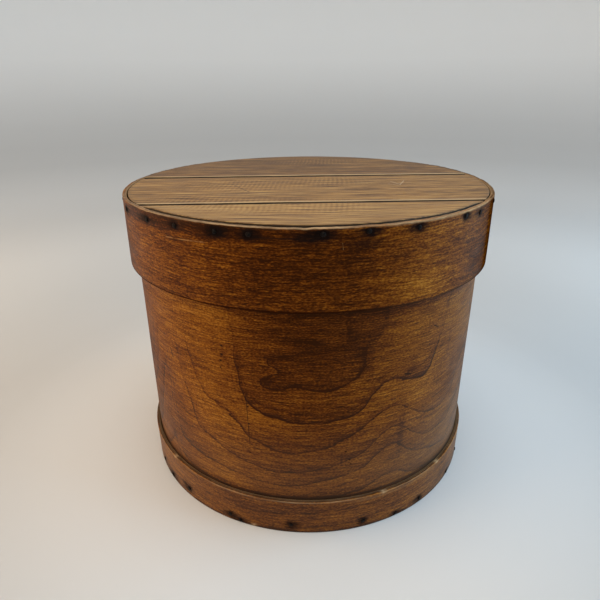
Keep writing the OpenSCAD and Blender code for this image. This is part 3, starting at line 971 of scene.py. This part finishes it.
side_wood = veneer("side_wood", dark_marks=marks_at(SIDE_LAP_AT, side_hi.x, SIDE_PINS))
rim_wood = veneer("rim_wood", light_marks=marks_at(RIM_LAP_AT, rim_hi.x, RIM_SCRATCHES),
                  dark_marks=marks_at(RIM_LAP_AT, rim_hi.x, RIM_CRACKS))
hoop_wood = veneer("hoop_wood")
lid_wood = weathered("lid_wood", LID_PALETTE,
                     light_marks=on_board(MIDDLE_SEED, MIDDLE_SCRATCHES),
                     dark_marks=on_board(FRONT_SEED, FRONT_CRACKS) + on_board(MIDDLE_SEED, MIDDLE_CRACKS))
bottom_wood = weathered("bottom_wood", BOTTOM_PALETTE)
iron = rusty_iron("iron")


def place(piece, body, node, slot):
    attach(piece, body)
    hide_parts(node)


place(bent_sheet("side", side_wood, (SIDE_R, SIDE_T, SIDE_LAP_AT, None),
                 sheet_profile(side_lo.z, side_hi.z, SIDE_T, 0.8 * MM, 0.6 * MM, 112, 30),
                 side_bulge, no_lift, side_looks), "box", "side_sheet", "side_wood")
place(bent_sheet("rim", rim_wood, (RIM_R, RIM_T, RIM_LAP_AT, None),
                 sheet_profile(rim_lo.z, rim_hi.z, RIM_T, 0.9 * MM, 0.4 * MM, 54, 22),
                 rim_bulge, rim_lift, rim_looks), "lid", "lid_rim", "rim_wood")
hoop_over = SIDE_LAP_AT - (HOOP_LAP_AT - LAP / 2) + 360
place(bent_sheet("hoop", hoop_wood, (HOOP_R, HOOP_T, HOOP_LAP_AT, hoop_over),
                 sheet_profile(hoop_lo.z, hoop_hi.z, HOOP_T, 0.7 * MM, 0.8 * MM, 32, 14),
                 hoop_bulge, hoop_lift, hoop_looks), "box", "bottom_hoop", "rim_wood")

# The lid's boards: Y of both edges, tint, seed, and how far each is raised, shrunk from the rim and warped
LID_BOARDS = [
    ("front", (-1, lid_lo.y - 1.6 * MM), 0.1, FRONT_SEED, -1.8 * MM, 1.6 * MM, 3.2 * MM),
    ("middle", (lid_lo.y + 0.2 * MM, lid_hi.y - 0.5 * MM), -0.16, MIDDLE_SEED, -0.8 * MM, 0.3 * MM, 0.0),
    ("back", (lid_hi.y + 1.0 * MM, 1), -0.52, BACK_SEED, 0.6 * MM, 0.3 * MM, 0.0),
]
for part, across, tint, seed, rise, shrunk, warp in LID_BOARDS:
    piece = board("lid_" + part, lid_wood, across, lid_hi.z + rise, lid_lo.z,
                  LID_R - shrunk, 0, tint, seed, dark_edge=1.3, shift=(0.2 * MM, 0.4 * MM), warp=warp)
    place(piece, "lid", "lid_board_" + part, "lid_wood")

BOTTOM_TURN = 32
BOTTOM_BOARDS = [("front", (-1, -66.4 * MM), 21), ("middle", (-65.6 * MM, 71.6 * MM), 24),
                 ("back", (72.4 * MM, 1), 27)]
for part, across, seed in BOTTOM_BOARDS:
    piece = board("bottom_" + part, bottom_wood, across, bottom_hi.z - 0.4 * MM, bottom_lo.z, BOTTOM_R,
                  BOTTOM_TURN, 0.0, seed)
    place(piece, "box", "bottom_board_" + part, "bottom_wood")

# Piece, body, node, kind, how much wood the tips are bent over behind, and seed
FASTENERS = [
    ("lid_nails", "lid", "lid_rim_nails", NAIL, None, 80),
    ("hoop_nails", "box", "bottom_hoop_nails", NAIL, None, 81),
    ("side_tacks", "box", "side_seam_tacks", TACK, SIDE_T + LAP_RISE, 82),
    ("rim_tacks", "lid", "lid_rim_tacks", TACK, RIM_T + LAP_RISE, 83),
    ("hoop_tacks", "box", "bottom_hoop_tacks", TACK, HOOP_R + HOOP_T + LAP_RISE - SIDE_R, 84),
]
for name, body, node, kind, stack, seed in FASTENERS:
    place(driven(name, iron, fasteners(node), kind, stack, seed), body, node, "iron")


def dowel_wood():
    s = Shader("dowel_wood")
    coords = s.nodes.new("ShaderNodeTexCoord").outputs["Object"]
    grain = s.noise(coords, (900, 40, 900), 3.0)
    colour = s.ramp(grain, [(0.3, (0.33, 0.21, 0.11)), (0.7, (0.55, 0.38, 0.21))])
    return s.finish(base_color=colour, roughness=s.total(0.5, s.times(grain, 0.3)),
                    normal=s.bump(grain, 0.2 * MM))


dowels = dowel_wood()
for node in ("lid_dowels", "bottom_dowels"):
    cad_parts[node].data.materials.clear()
    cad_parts[node].data.materials.append(dowels)

# ---- setting ----

scene = bpy.context.scene
scene.view_settings.view_transform = "Standard"


def add_floor():
    """A round pale floor that curves up into a low wall all round, like a studio sweep."""
    flat, bend, high = 1.5, 0.9, 2.6
    turn = np.radians(np.linspace(0, 90, 13))
    inner = np.arange(0, flat - 0.01, 0.05)
    radius = np.concatenate([inner, flat + bend * np.sin(turn), [flat + bend]])
    z = np.concatenate([0 * inner, bend * (1 - np.cos(turn)), [high]])
    around = np.radians(np.arange(0, 360, 4))[:, None]
    verts = np.stack([radius * np.sin(around), -radius * np.cos(around), z + 0 * around], -1)
    verts = np.concatenate([verts, verts[:1]]).reshape(-1, 3)
    # Painted light and shade on the floor: palest under the box, darkest half a metre out, and the wall
    # darkens before it pales with height
    far = np.hypot(verts[:, 0], verts[:, 1])
    pale = 0.8 - 0.22 * ease((far - 0.24) / 0.26) + 0.1 * ease((far - 0.6) / 0.5)
    pale = pale - 0.12 * ease(verts[:, 2] / 0.15) + 0.32 * ease((verts[:, 2] - 0.15) / 0.5)
    s = Shader("floor")
    colour = s.ramp(s.value("pale"), [(0.0, 0.0), (1.0, 1.0)])
    paper = s.finish(base_color=colour, roughness=0.7, specular_ior_level=0.2)
    floor = make_piece("floor", verts, grid_faces(len(around) + 1, len(radius)), paper, {"pale": pale})


def add_light(name, bearing, far, high, power, colour, size=1.4):
    """A square soft light that faces the middle of the box."""
    light = bpy.data.lights.new(name, "AREA")
    light.shape = "SQUARE"
    light.size = size
    light.energy = power
    light.color = colour
    lamp = bpy.data.objects.new(name, light)
    rad = math.radians(bearing)
    lamp.location = (far * math.sin(rad), -far * math.cos(rad), high)
    aim = Vector((0, 0, 0.17)) - lamp.location
    lamp.rotation_euler = aim.to_track_quat("-Z", "Y").to_euler()
    lamp.visible_camera = False
    scene.collection.objects.link(lamp)


def add_world():
    world = bpy.data.worlds.new("world")
    world.use_nodes = True
    back = world.node_tree.nodes["Background"]
    back.inputs[0].default_value = (0.95, 0.98, 1.0, 1)
    back.inputs[1].default_value = 0.29
    scene.world = world


def add_camera():
    camera = bpy.data.objects.new("camera", bpy.data.cameras.new("camera"))
    camera.data.lens = CAMERA_LENS
    rad = math.radians(CAMERA_BEARING)
    place = Matrix.Translation((CAMERA_FAR * math.sin(rad), -CAMERA_FAR * math.cos(rad), CAMERA_HIGH))
    turn = (Matrix.Rotation(math.radians(-CAMERA_YAW), 4, "Z")
            @ Matrix.Rotation(math.radians(90 - CAMERA_PITCH), 4, "X")
            @ Matrix.Rotation(math.radians(CAMERA_ROLL), 4, "Z"))
    camera.matrix_world = place @ turn
    scene.collection.objects.link(camera)
    scene.camera = camera


add_floor()
add_world()
add_camera()
add_light("left", bearing=-84, far=1.6, high=1.0, power=16.5, colour=(1.0, 0.68, 0.34))
add_light("right", bearing=84, far=1.6, high=0.9, power=19, colour=(0.45, 0.75, 1.0))
add_light("above", bearing=0, far=0.1, high=1.9, power=14, colour=(1.0, 0.97, 0.92))
